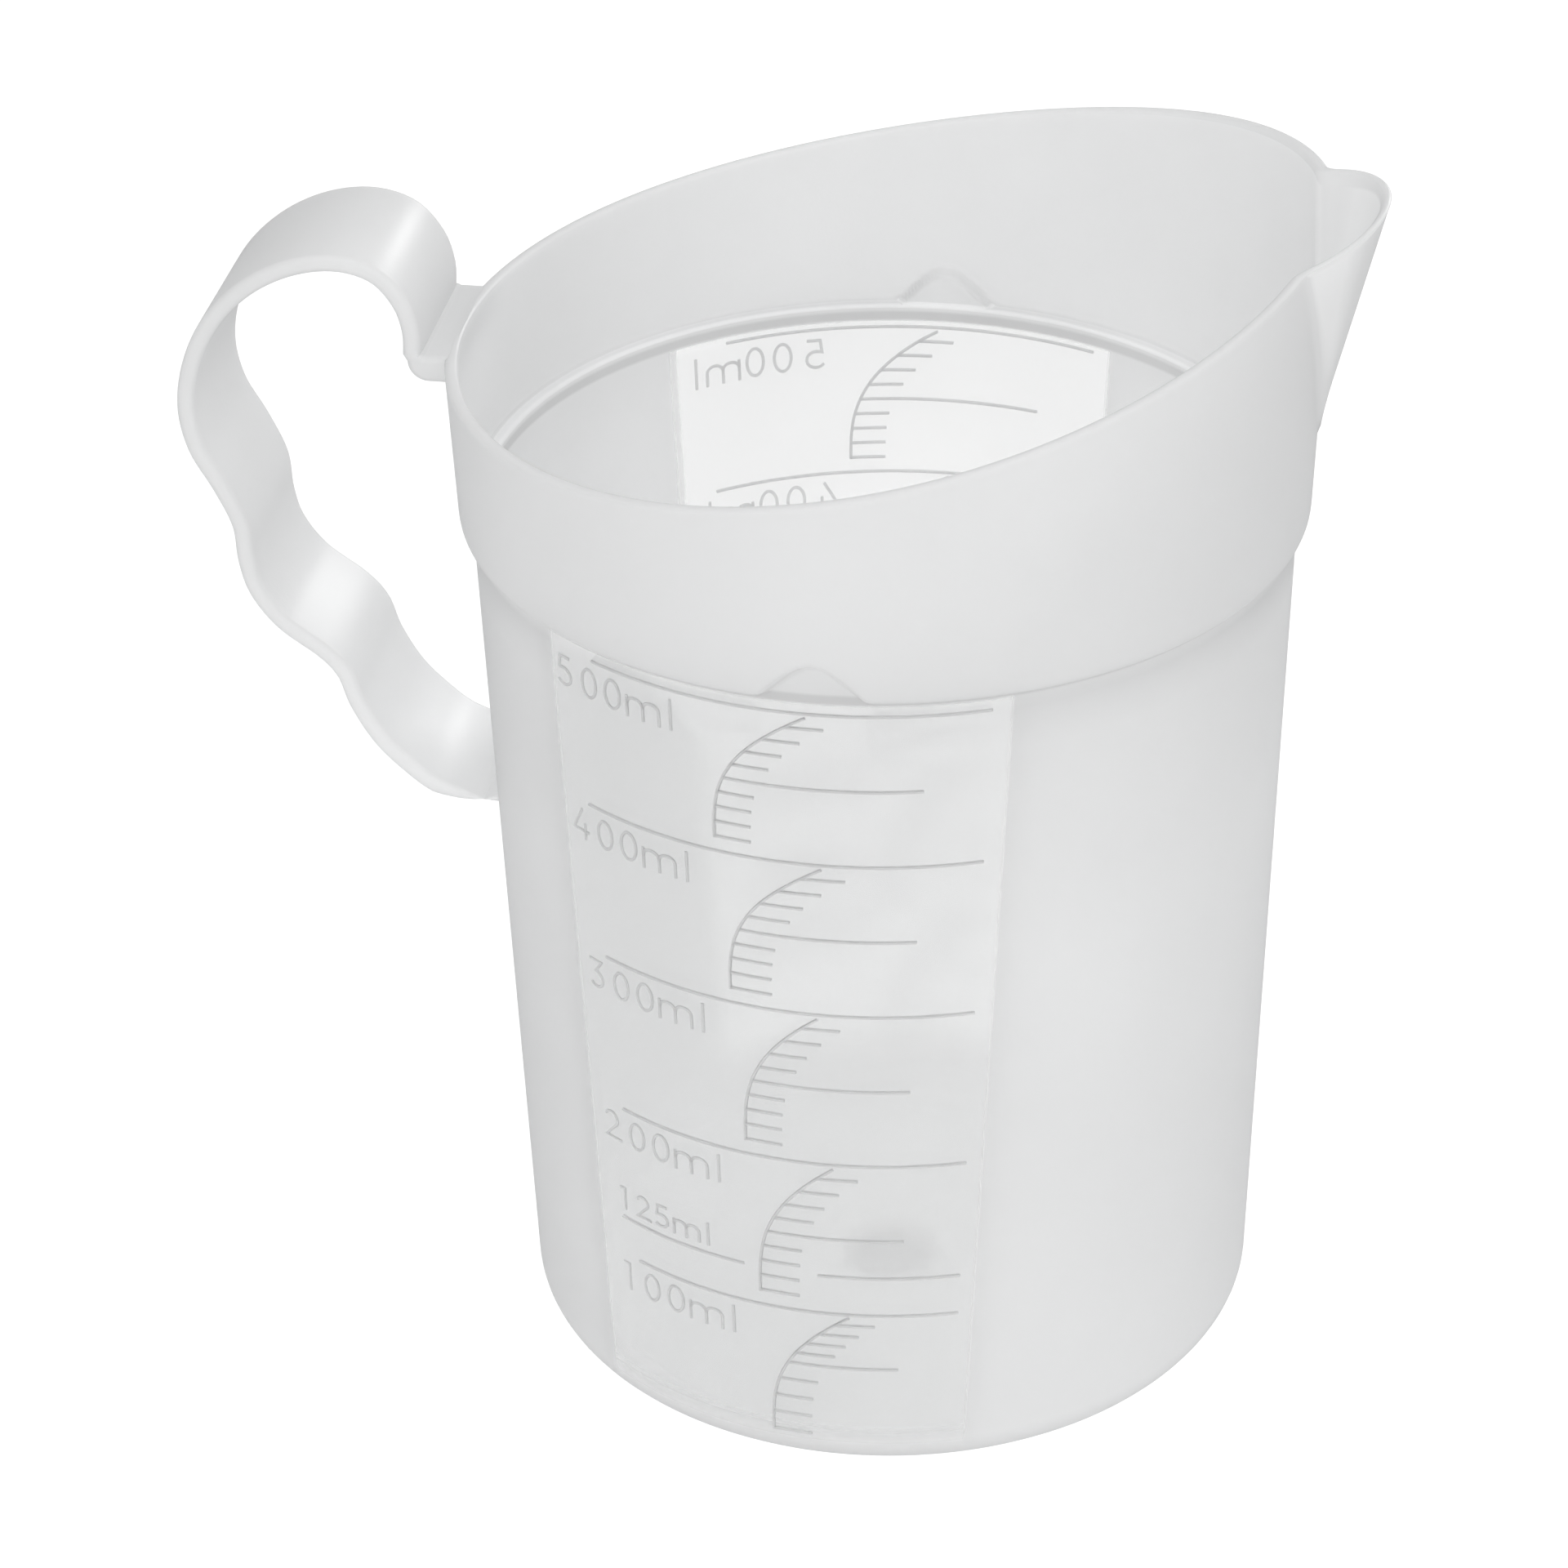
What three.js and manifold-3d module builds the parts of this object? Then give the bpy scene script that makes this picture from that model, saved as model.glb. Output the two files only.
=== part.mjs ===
// A 500 ml polypropylene measuring beaker: a tapered cup with a stepped collar, an oblique rim
// with a pouring spout, a wavy strap handle, two stacking stops and a raised scale on each side.
// Millimetres, +Z up. The origin is on the cup's axis, on the plane that the cup stands on.
// The spout points along +X and the handle along -X; the XZ plane is the plane of symmetry.
import * as THREE from "three";
import { mergeVertices } from "three/addons/utils/BufferGeometryUtils.js";
import Module from "manifold-3d";

const wasm = await Module();
wasm.setup();

// ---- Driving dimensions ----------------------------------------------------------------------

// Cup: the marked capacity sets how tall the graduated wall is.
const CAPACITY = 500;                // ml, at the highest line
const FOOT_RADIUS = 40.29;           // outer wall, carried down to the standing plane
const WALL_DRAFT = 0.0349;           // mm of radius gained per mm of height
const WALL = 1.46;                   // wall thickness, across the radius
const FLOOR = 0.9;                   // floor thickness
const CORNER = 4.6;                  // outer radius between floor and wall
const CORNER_LAND = 3.0;             // straight wall above the corner that belongs to the base
const LINE_TO_STEP = 1.75;           // from the highest line up to the step

// Collar: the wider ring above the step.
const STEP_OUT = 1.35;               // how far the collar stands out of the wall at the step
const COLLAR_DRAFT = 0.0427;
const COLLAR_WALL = 1.4;
const LEDGE = 1.4;                   // height of the ledge inside the step
const RIM_RISE = 23.0;               // from the step up to the rim, on the axis
const RIM_SLOPE = 0.196;             // slope of the rim on the axis, rising to the spout
const RIM_ARC = 335;                 // radius of the arc that the rim follows, seen from the side

// Spout: a leaning cone that grows out of the collar.
const SPOUT_START = 11.25;           // height of the spout's point above the step
const SPOUT_FLARE = 0.63;            // mm of cone radius gained per mm of height
const SPOUT_LEAN = -0.378;           // mm that the cone's centre moves along X per mm of height
const SPOUT_WALL_RISE = 1.8;         // the inner cone sits this much higher
const SPOUT_WALL_BACK = 0.4;         // and this much nearer the axis

// Stacking stops: half-moons pressed in at the two sides of the collar.
const STOP_RADIUS = 7.2;             // outline of the pad inside the collar
const STOP_SIDE = 1.0;               // wall left round the pocket outside it
const STOP_DROP = 2.0;               // how far below the step their centre lies

// Handle: a flat strap with finger waves.
const HANDLE_WIDTH = 18;
const HANDLE_THICKNESS = 1.9;
const HANDLE_REACH = 27.8;           // from the collar to the middle of the outermost wave
const HANDLE_FOOT_DROP = 38.2;       // from the step down to where the strap meets the wall
const BRIDGE_DEPTH = 3.0;            // height of the bridge between strap and rim
const BRIDGE_REACH = 2.3;            // from the collar to the middle of the rising strap
const BRIDGE_ROUND = 2.2;            // radius under the bridge's outer corner
const FOOT_LENGTH = 6.0;             // length of the foot that carries the strap into the wall
const FOOT_FALL = 2.1;               // how far the foot's underside falls over that length
const FOOT_FLARE = 0.44;             // how far its top rises
const FOOT_DIP = 1.3;                // sag of its top, which is drawn as a curve
const FOOT_DIP_AT = 0.6;             // where the sag lies, as a share of the length

// Scale: raised lines and combs of ticks, the same on both sides.
const MARK_WIDTH = 0.5;
const ARC_HEIGHT = 0.3;              // how far the arcs stand out of the wall
const LINE_HEIGHT = 0.27;            // how far lines and ticks stand out
const MARK_ROOT = 0.6;               // how deep a mark starts inside the wall before it is cut
const TICK_LENGTHS = [4.3, 4.4, 4.1, 4.6, 4.0];   // comb by comb from the lowest
const COMB_SWEEPS = [7.2, 6.7, 6.6, 8.1, 8.0];    // how far each arc leans towards the spout
const ARC_BEND = 2.8;                // power that the lean grows with, from upright at the foot
const ARC_OVERRUN = 0.66;            // how far an arc runs on above its highest tick, as a share of
                                     // the way to its line
const FIRST_COMB = [0.223, 0.661, 0.93];          // lowest, middle and highest tick of the lowest
                                     // comb, as shares of the height of its line
const LINE_GAP = 11.4;               // degrees left open in the quarter line for the arc

// Azimuths of the scale, in degrees from the spout, as [at the 100 ml line, gain per 100 ml].
const LINE_SPOUT_END = [70.6, -1.03];
const LINE_HANDLE_END = [122.3, 1.3];
const COMB_FOOT = [99.2, 1.35];
const MIDDLE_TICK_END = [79.7, -1.02];
const FULL_LINE_HANDLE_END = 123.6;
const QUARTER_LINE_HANDLE_END = 125.3;
const QUARTER_GAP_START = 103.0;

const GATE_RADIUS = 5.2;             // the round mark of the moulding gate, on the floor
const GATE_HEIGHT = 0.4;

const TURN_STEPS = 72;               // facets round the cup
const CONE_STEPS = 64;
const CORNER_STEPS = 5;
const CLEAR = 20;                    // how far a cutting solid runs past what it cuts

// Middle line of the handle strap from the bridge down to the wall, as shares of the reach out of
// the collar and of the rise from the foot to the bridge's top.
const HANDLE_LINE = [
  [0.099, 1.0], [0.099, 1.05], [0.134, 1.107], [0.226, 1.16], [0.375, 1.18], [0.551, 1.165],
  [0.721, 1.12], [0.862, 1.05], [0.958, 0.96], [1.0, 0.861], [0.972, 0.769], [0.887, 0.687],
  [0.82, 0.607], [0.806, 0.528], [0.77, 0.461], [0.675, 0.395], [0.519, 0.336], [0.442, 0.29],
  [0.396, 0.222], [0.304, 0.142], [0.17, 0.075], [0.1, 0.05],
];

// ---- Solids ----------------------------------------------------------------------------------

function toSolid(geometry) {
  const bare = geometry.clone();
  bare.deleteAttribute("normal");
  bare.deleteAttribute("uv");
  const merged = mergeVertices(bare, 1e-5);
  return new wasm.Manifold(new wasm.Mesh({
    numProp: 3,
    vertProperties: new Float32Array(merged.getAttribute("position").array),
    triVerts: new Uint32Array(merged.getIndex().array),
  }));
}

function toGeometry(solid) {
  const mesh = solid.getMesh();
  const geometry = new THREE.BufferGeometry();
  geometry.setAttribute("position", new THREE.BufferAttribute(mesh.vertProperties, 3));
  geometry.setIndex(new THREE.BufferAttribute(mesh.triVerts, 1));
  geometry.computeVertexNormals();
  return geometry;
}

// A solid of revolution about Z from [radius, height] points.
function turned(outline, steps = TURN_STEPS) {
  const points = outline.map(([radius, height]) => new THREE.Vector2(radius, height));
  const solid = new THREE.LatheGeometry(points, steps);
  solid.rotateX(Math.PI / 2);
  return solid;
}

// A plate of the given width, centred on the XZ plane, from a shape drawn in X and Z.
function plate(shape, width) {
  const solid = new THREE.ExtrudeGeometry(shape, { depth: width, bevelEnabled: false, curveSegments: 24 });
  solid.rotateX(Math.PI / 2);
  solid.translate(0, width / 2, 0);
  return solid;
}

// The same solid on the other side of the XZ plane.
function mirrored(geometry) {
  const copy = geometry.clone().scale(1, -1, 1);
  const index = copy.getIndex();
  for (let i = 0; i < index.count; i += 3) {
    const first = index.getX(i);
    index.setX(i, index.getX(i + 1));
    index.setX(i + 1, first);
  }
  copy.computeVertexNormals();
  return copy;
}

// ---- The cup's radii and heights -------------------------------------------------------------

const slant = Math.hypot(1, WALL_DRAFT);
const outerLine = (height) => FOOT_RADIUS + WALL_DRAFT * height;
const innerLine = (height) => outerLine(height) - WALL;
const innerCorner = CORNER - WALL;

// Centre of the round that is tangent to a level floor and to the wall above it.
function cornerCentre(line, level, radius) {
  return { x: line(level + radius) - radius * slant, z: level + radius, radius };
}

const outerRound = cornerCentre(outerLine, 0, CORNER);
const innerRound = cornerCentre(innerLine, FLOOR, innerCorner);

function radiusAt(line, round, height) {
  const below = round.z - height;
  if (below <= round.radius * WALL_DRAFT / slant) {
    return line(height);
  }
  return round.x + Math.sqrt(Math.max(round.radius ** 2 - below ** 2, 0));
}

const wallOuter = (height) => radiusAt(outerLine, outerRound, height);
const cavityRadius = (height) => radiusAt(innerLine, innerRound, height);

// Height of the liquid's surface for a volume in ml, summed in thin slices from the floor up.
function fillHeight(volume) {
  const slice = 0.01;
  let height = FLOOR;
  let filled = 0;
  while (filled < volume * 1000) {
    filled += Math.PI * cavityRadius(height + slice / 2) ** 2 * slice;
    height += slice;
  }
  return height;
}

const interval = CAPACITY / 5;
const stepHeight = fillHeight(CAPACITY) + LINE_TO_STEP;
const baseTop = CORNER + CORNER_LAND;
const collarAtStep = outerLine(stepHeight) + STEP_OUT;
const collarOuter = (height) => collarAtStep + COLLAR_DRAFT * (height - stepHeight);
const collarInner = (height) => collarOuter(height) - COLLAR_WALL;
const ledgeTop = stepHeight + LEDGE;

// The rim's height along X: an arc whose slope on the axis is RIM_SLOPE.
const rimTilt = Math.atan(RIM_SLOPE);
const rimCentre = {
  x: -RIM_ARC * Math.sin(rimTilt),
  z: stepHeight + RIM_RISE + RIM_ARC * Math.cos(rimTilt),
};
const rimHeight = (x) => rimCentre.z - Math.sqrt(RIM_ARC ** 2 - (x - rimCentre.x) ** 2);
const bridgeTop = rimHeight(-collarAtStep);
const collarAtBridge = collarOuter(bridgeTop);
const aboveRim = rimHeight(collarAtStep) + CLEAR;

function roundPoints(round, steps) {
  const points = [];
  const end = -Math.atan(WALL_DRAFT);
  for (let i = 0; i <= steps; i += 1) {
    const angle = -Math.PI / 2 + (end + Math.PI / 2) * i / steps;
    points.push([round.x + round.radius * Math.cos(angle), round.z + round.radius * Math.sin(angle)]);
  }
  return points;
}

// ---- The cup ---------------------------------------------------------------------------------

function cupBase() {
  return turned([
    [0, 0],
    ...roundPoints(outerRound, CORNER_STEPS),
    [outerLine(baseTop), baseTop],
    [innerLine(baseTop), baseTop],
    ...roundPoints(innerRound, CORNER_STEPS).reverse(),
    [0, FLOOR],
  ]);
}

function cupWall() {
  return turned([
    [innerLine(baseTop), baseTop],
    [outerLine(baseTop), baseTop],
    [outerLine(stepHeight), stepHeight],
    [innerLine(stepHeight), stepHeight],
    [innerLine(baseTop), baseTop],
  ]);
}

// Everything inside the outer face of the base and wall.
function cupOutside() {
  return toSolid(turned([
    [0, 0],
    ...roundPoints(outerRound, CORNER_STEPS),
    [outerLine(baseTop), baseTop],
    [outerLine(stepHeight), stepHeight],
    [0, stepHeight],
  ]));
}

function gateLens() {
  const steps = 4;
  const outline = [[0, FLOOR], [GATE_RADIUS, FLOOR]];
  for (let i = 1; i <= steps; i += 1) {
    const turn = Math.PI / 2 * i / steps;
    outline.push([GATE_RADIUS * Math.cos(turn), FLOOR + GATE_HEIGHT * Math.sin(turn)]);
  }
  outline[outline.length - 1][0] = 0;
  return turned(outline, 32);
}

// ---- Collar, spout and stacking stops --------------------------------------------------------

function coneFrom(line, bottom, top) {
  return toSolid(turned([[0, bottom], [line(bottom), bottom], [line(top), top], [0, top]]));
}

function spoutCone(back, rise) {
  const height = aboveRim - stepHeight - SPOUT_START - rise;
  const cone = turned([[0, 0], [SPOUT_FLARE * height, height], [0, height]], CONE_STEPS);
  cone.applyMatrix4(new THREE.Matrix4().makeShear(0, 0, 0, 0, SPOUT_LEAN, 0));
  const start = stepHeight + SPOUT_START;
  cone.translate(collarOuter(start) - back, 0, start + rise);
  return toSolid(cone);
}

function aboveTheRim() {
  const reach = collarAtStep + 2 * CLEAR;
  const shape = new THREE.Shape();
  const from = Math.asin((-reach - rimCentre.x) / RIM_ARC);
  const to = Math.asin((reach - rimCentre.x) / RIM_ARC);
  const steps = 40;
  for (let i = 0; i <= steps; i += 1) {
    const swing = from + (to - from) * i / steps;
    const x = rimCentre.x + RIM_ARC * Math.sin(swing);
    const z = rimCentre.z - RIM_ARC * Math.cos(swing);
    if (i === 0) {
      shape.moveTo(x, z);
    } else {
      shape.lineTo(x, z);
    }
  }
  shape.lineTo(reach, aboveRim + CLEAR);
  shape.lineTo(-reach, aboveRim + CLEAR);
  return toSolid(plate(shape, 2 * reach));
}

// A round bar along Y at one side of the collar.
function stopBar(side, radius) {
  const length = 2 * CLEAR;
  const bar = new THREE.CylinderGeometry(radius, radius, length, 48);
  bar.translate(0, side * collarAtStep, stepHeight - STOP_DROP);
  return toSolid(bar);
}

function collarShell() {
  const outside = coneFrom(collarOuter, stepHeight, aboveRim);
  const inside = coneFrom(collarInner, ledgeTop, aboveRim + CLEAR);
  const throat = coneFrom(innerLine, stepHeight - CLEAR, aboveRim);
  return outside.subtract(inside).subtract(throat);
}

function collar(shell, above) {
  return shell
    .subtract(above)
    .subtract(spoutCone(0, 0))
    .subtract(stopBar(1, STOP_RADIUS))
    .subtract(stopBar(-1, STOP_RADIUS));
}

function spout(above) {
  return spoutCone(0, 0)
    .subtract(spoutCone(SPOUT_WALL_BACK, SPOUT_WALL_RISE))
    .subtract(coneFrom(collarInner, ledgeTop, aboveRim + CLEAR))
    .subtract(above);
}

function stackingStop(side) {
  const ring = coneFrom(collarOuter, stepHeight, aboveRim)
    .subtract(coneFrom(innerLine, stepHeight - CLEAR, aboveRim + CLEAR));
  const pocket = stopBar(side, STOP_RADIUS - STOP_SIDE)
    .subtract(coneFrom(outerLine, stepHeight - CLEAR, aboveRim + CLEAR));
  return ring.intersect(stopBar(side, STOP_RADIUS)).subtract(pocket);
}

// ---- Handle ----------------------------------------------------------------------------------

const handleFoot = stepHeight - HANDLE_FOOT_DROP;
const strapStart = -(collarAtBridge + BRIDGE_REACH);

function handlePoint([out, up]) {
  const x = -(collarAtBridge + HANDLE_REACH * out);
  return new THREE.Vector2(x, handleFoot + (bridgeTop - handleFoot) * up);
}

// Two edges of the strap, each HANDLE_THICKNESS / 2 from its middle line.
function strapEdges() {
  const middle = new THREE.SplineCurve(HANDLE_LINE.map(handlePoint));
  const steps = 84;
  const edges = { outer: [], inner: [] };
  for (let i = 0; i <= steps; i += 1) {
    const place = middle.getPointAt(i / steps);
    const along = i === 0 ? new THREE.Vector2(0, 1) : middle.getTangentAt(i / steps);
    const across = new THREE.Vector2(along.y, -along.x).multiplyScalar(HANDLE_THICKNESS / 2);
    edges.outer.push(place.clone().add(across));
    edges.inner.push(place.clone().sub(across));
  }
  return edges;
}

function handleStrap(edges) {
  return plate(new THREE.Shape([...edges.outer, ...edges.inner.slice().reverse()]), HANDLE_WIDTH);
}

// The foot carries on from the strap's end, thickening upwards until it meets the wall.
function handleFootPiece(edges, outside) {
  const low = edges.outer[edges.outer.length - 1];
  const high = edges.inner[edges.inner.length - 1];
  const inWall = low.x + FOOT_LENGTH + WALL;
  const shape = new THREE.Shape();
  shape.moveTo(high.x, high.y);
  shape.lineTo(low.x, low.y);
  shape.lineTo(inWall, low.y - FOOT_FALL);
  shape.lineTo(inWall, high.y + FOOT_FLARE);
  shape.quadraticCurveTo(high.x + FOOT_LENGTH * FOOT_DIP_AT, high.y - FOOT_DIP, high.x, high.y);
  return toSolid(plate(shape, HANDLE_WIDTH)).subtract(outside);
}

// The bridge is level with the rim on top and rounded below its outer corner.
function handleBridge() {
  const outerFace = strapStart - HANDLE_THICKNESS / 2;
  const under = bridgeTop - BRIDGE_DEPTH;
  const shape = new THREE.Shape();
  shape.moveTo(outerFace, bridgeTop);
  shape.lineTo(outerFace, under + BRIDGE_ROUND);
  shape.absarc(outerFace + BRIDGE_ROUND, under + BRIDGE_ROUND, BRIDGE_ROUND, Math.PI, 1.5 * Math.PI, false);
  shape.lineTo(-collarAtBridge + CLEAR / 2, under);
  shape.lineTo(-collarAtBridge + CLEAR / 2, bridgeTop);
  return toSolid(plate(shape, HANDLE_WIDTH)).subtract(coneFrom(collarOuter, stepHeight, aboveRim));
}

// ---- Scale -----------------------------------------------------------------------------------

const degrees = THREE.MathUtils.radToDeg;
const gained = ([first, gain], hundreds) => first + gain * (hundreds - 1);

// A bar laid on the wall: pathAt gives [azimuth, height] for a share of its length and an offset
// across it. It starts inside the wall and stands out by the given height.
function raisedBar(pathAt, steps, height) {
  const bar = new THREE.BoxGeometry(1, MARK_WIDTH, 1, steps, 1, 1);
  const place = bar.getAttribute("position");
  for (let i = 0; i < place.count; i += 1) {
    const [azimuth, level] = pathAt(place.getX(i) + 0.5, place.getY(i));
    const radius = wallOuter(level) + (place.getZ(i) > 0 ? height : -MARK_ROOT);
    const turn = THREE.MathUtils.degToRad(-azimuth);
    place.setXYZ(i, radius * Math.cos(turn), radius * Math.sin(turn), level);
  }
  return toSolid(bar);
}

function levelBar(level, handleEnd, spoutEnd) {
  const steps = Math.max(1, Math.round((handleEnd - spoutEnd) * TURN_STEPS / 360));
  const path = (share, across) => [handleEnd + (spoutEnd - handleEnd) * share, level + across];
  return raisedBar(path, steps, LINE_HEIGHT);
}

// Heights of a comb's nine ticks. The lowest comb is spaced by eye, because the round corner and
// the floor take up part of its volume; the others are a tenth of their interval apart.
function tickLevels(hundreds) {
  const ticks = [1, 2, 3, 4, 5, 6, 7, 8, 9];
  if (hundreds > 1) {
    return ticks.map((tick) => fillHeight(interval * (hundreds - 1 + tick / 10)));
  }
  const [lowest, middle, highest] = FIRST_COMB;
  const half = (middle - lowest) / 4;
  const rest = (highest - middle) / 4;
  return ticks.map((tick) => {
    const share = tick <= 5 ? lowest + half * (tick - 1) : middle + rest * (tick - 5);
    return fillHeight(interval) * share;
  });
}

// An arc that starts upright at the lowest tick and leans towards the spout, with nine ticks.
function comb(hundreds, outside) {
  const levels = tickLevels(hundreds);
  const sweep = COMB_SWEEPS[hundreds - 1];
  const foot = levels[0];
  const rise = levels[8] - foot;
  const shiftAt = (level) => sweep * Math.max((level - foot) / rise, 0) ** ARC_BEND;
  const azimuthAt = (shift, level) => gained(COMB_FOOT, hundreds) - degrees(shift / wallOuter(level));
  const bottom = foot - MARK_WIDTH / 2;
  const top = levels[8] + ARC_OVERRUN * (fillHeight(interval * hundreds) - levels[8]);
  const arcPath = (share, across) => {
    const level = bottom + (top - bottom) * share;
    const lean = shiftAt(level + 0.5) - shiftAt(level - 0.5);
    const shift = shiftAt(level) - across / Math.hypot(1, lean);
    const height = level + across * lean / Math.hypot(1, lean);
    return [azimuthAt(shift, height), height];
  };
  let solid = raisedBar(arcPath, 12, ARC_HEIGHT);
  levels.forEach((level, i) => {
    const start = azimuthAt(shiftAt(level), level);
    const tickEnd = azimuthAt(shiftAt(level) + TICK_LENGTHS[hundreds - 1], level);
    const end = i === 4 ? gained(MIDDLE_TICK_END, hundreds) : tickEnd;
    solid = solid.add(levelBar(level, start, end));
  });
  return solid.subtract(outside);
}

// Every mark of one side, by name.
function scaleMarks(outside) {
  const marks = {};
  for (let hundreds = 1; hundreds <= 5; hundreds += 1) {
    const handleEnd = hundreds === 5 ? FULL_LINE_HANDLE_END : gained(LINE_HANDLE_END, hundreds);
    const level = fillHeight(interval * hundreds);
    const bar = levelBar(level, handleEnd, gained(LINE_SPOUT_END, hundreds));
    marks[`line_${hundreds}_fifths`] = bar.subtract(outside);
    marks[`ticks_below_${hundreds}_fifths`] = comb(hundreds, outside);
  }
  const quarter = fillHeight(CAPACITY / 4);
  const gapEnd = QUARTER_GAP_START - LINE_GAP;
  const handlePart = levelBar(quarter, QUARTER_LINE_HANDLE_END, QUARTER_GAP_START);
  const spoutPart = levelBar(quarter, gapEnd, gained(LINE_SPOUT_END, 1.25));
  marks.line_quarter_handle_part = handlePart.subtract(outside);
  marks.line_quarter_spout_part = spoutPart.subtract(outside);
  return marks;
}

// ---- Assembly --------------------------------------------------------------------------------

const FROSTED = { color: 0xdfe1e2, roughness: 0.55, metalness: 0 };
const POLISHED = { color: 0xe9ebec, roughness: 0.2, metalness: 0 };

const beaker = new THREE.Group();

function place(name, geometry, finish) {
  const mesh = new THREE.Mesh(geometry, new THREE.MeshStandardMaterial(finish));
  mesh.name = name;
  beaker.add(mesh);
}

const outside = cupOutside();
const above = aboveTheRim();
const edges = strapEdges();

place("cup_base", cupBase(), FROSTED);
place("cup_wall", cupWall(), FROSTED);
place("gate_lens", gateLens(), POLISHED);
place("collar", toGeometry(collar(collarShell(), above)), FROSTED);
place("spout", toGeometry(spout(above)), FROSTED);
place("handle_bridge", toGeometry(handleBridge()), FROSTED);
place("handle_strap", handleStrap(edges), FROSTED);
place("handle_foot", toGeometry(handleFootPiece(edges, outside)), FROSTED);
place("stacking_stop_left", toGeometry(stackingStop(1)), FROSTED);
place("stacking_stop_right", toGeometry(stackingStop(-1)), FROSTED);
for (const [name, mark] of Object.entries(scaleMarks(outside))) {
  const geometry = toGeometry(mark);
  place(`right_${name}`, geometry, POLISHED);
  place(`left_${name}`, mirrored(geometry), POLISHED);
}

export default beaker;
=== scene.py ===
"""A 500 ml polypropylene measuring beaker, modelled over its CAD frame, with a plain studio round it."""
import math

import bmesh
import bpy
from bpy.props import FloatProperty, FloatVectorProperty, IntProperty, PointerProperty
from mathutils import Matrix, Vector


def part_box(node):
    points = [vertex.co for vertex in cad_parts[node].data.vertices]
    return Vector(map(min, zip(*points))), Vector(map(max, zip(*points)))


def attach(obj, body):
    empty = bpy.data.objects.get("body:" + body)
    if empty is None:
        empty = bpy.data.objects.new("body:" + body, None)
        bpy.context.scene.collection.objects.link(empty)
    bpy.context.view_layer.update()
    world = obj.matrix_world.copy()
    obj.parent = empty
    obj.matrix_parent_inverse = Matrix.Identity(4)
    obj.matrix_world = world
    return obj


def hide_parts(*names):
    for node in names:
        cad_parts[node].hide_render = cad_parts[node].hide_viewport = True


bl_info = {
    "name": "Measuring Beaker",
    "version": (1, 0, 0),
    "blender": (4, 5, 0),
    "location": "View3D > Sidebar > Beaker",
    "description": "Builds a moulded measuring beaker and the studio it stands in",
    "category": "Add Mesh",
}

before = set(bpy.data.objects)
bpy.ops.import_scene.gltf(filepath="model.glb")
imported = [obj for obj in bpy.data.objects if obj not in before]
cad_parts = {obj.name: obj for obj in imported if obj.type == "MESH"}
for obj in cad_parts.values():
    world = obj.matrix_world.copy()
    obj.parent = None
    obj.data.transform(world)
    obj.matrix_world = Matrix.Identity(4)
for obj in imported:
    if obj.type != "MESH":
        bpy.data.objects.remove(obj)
MM = 0.001
LEFT, RIGHT = 1, -1
SIDES = {"left": LEFT, "right": RIGHT}

# Mesh fineness: the cup's azimuths are this many times closer at the spout and the stops, within
# these half angles in degrees.
FINE_SHARE = 3
SPOUT_FINE = 24
STOP_FINE = 12

# Rounds of the vessel in mm: the lip's fall, and the ledge's corners to the collar and to the wall.
LIP = 0.45
LEDGE_COLLAR_ROUND = 0.5
LEDGE_WALL_ROUND = 0.45
STOP_TOP = 7                         # above the step, past the top of both stops
STOP_LEAST = 0.02                    # share of the ledge that is left in front of a stop

# The handle's middle line, as shares of its reach out of the collar and of its rise from the foot.
HANDLE_LINE = (
    (0.099, 1.0), (0.099, 1.05), (0.134, 1.107), (0.226, 1.16), (0.375, 1.18), (0.551, 1.165),
    (0.721, 1.12), (0.862, 1.05), (0.958, 0.96), (1.0, 0.861), (0.972, 0.769), (0.887, 0.687),
    (0.82, 0.607), (0.806, 0.528), (0.77, 0.461), (0.675, 0.395), (0.519, 0.336), (0.442, 0.29),
    (0.396, 0.222), (0.304, 0.142), (0.17, 0.075), (0.1, 0.05),
)
HANDLE_STEPS = 110

# Ends of the handle in mm: how deep the bridge reaches into the collar, how far from the axis the
# foot ends inside the wall, how it spreads on the way and how much it sags.
BRIDGE_SINK = 1.15
FOOT_END = 41.5
FOOT_FALL = 2.1
FOOT_RISE = 0.5
FOOT_SAG = 0.75
FOOT_SAG_BELOW = 0.3                 # share of the sag on the underside
STRAP_ROUND = 0.75

# The gate mark's skirt, sunk into the floor, in mm.
GATE_SINK = 0.25

# Scale, hundred by hundred: tick lengths and arc sweeps in mm, and azimuths in degrees from the
# spout as (at the lowest line, gain per hundred).
TICK_LENGTHS = (4.3, 4.4, 4.1, 4.6, 4.0)
COMB_SWEEPS = (7.2, 6.7, 6.6, 8.1, 8.0)
COMB_BEND = 2.8                      # power by which an arc leans over towards its top
FIRST_COMB = (0.223, 0.661, 0.93)    # lowest, middle and highest tick as shares of the line's height
LINE_SPOUT_END = (70.6, -1.03)
LINE_HANDLE_END = (122.3, 1.3)
COMB_FOOT = (99.2, 1.35)
MIDDLE_TICK_END = (79.7, -1.02)
FULL_LINE_HANDLE_END = 123.6
QUARTER_LINE_HANDLE_END = 125.3
QUARTER_GAP = (103.0, 91.6)
QUARTER = 1.25                       # where the quarter line stands, in hundreds
MARK_SINK = 0.08                     # mm that a mark's edges reach into the wall

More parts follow.
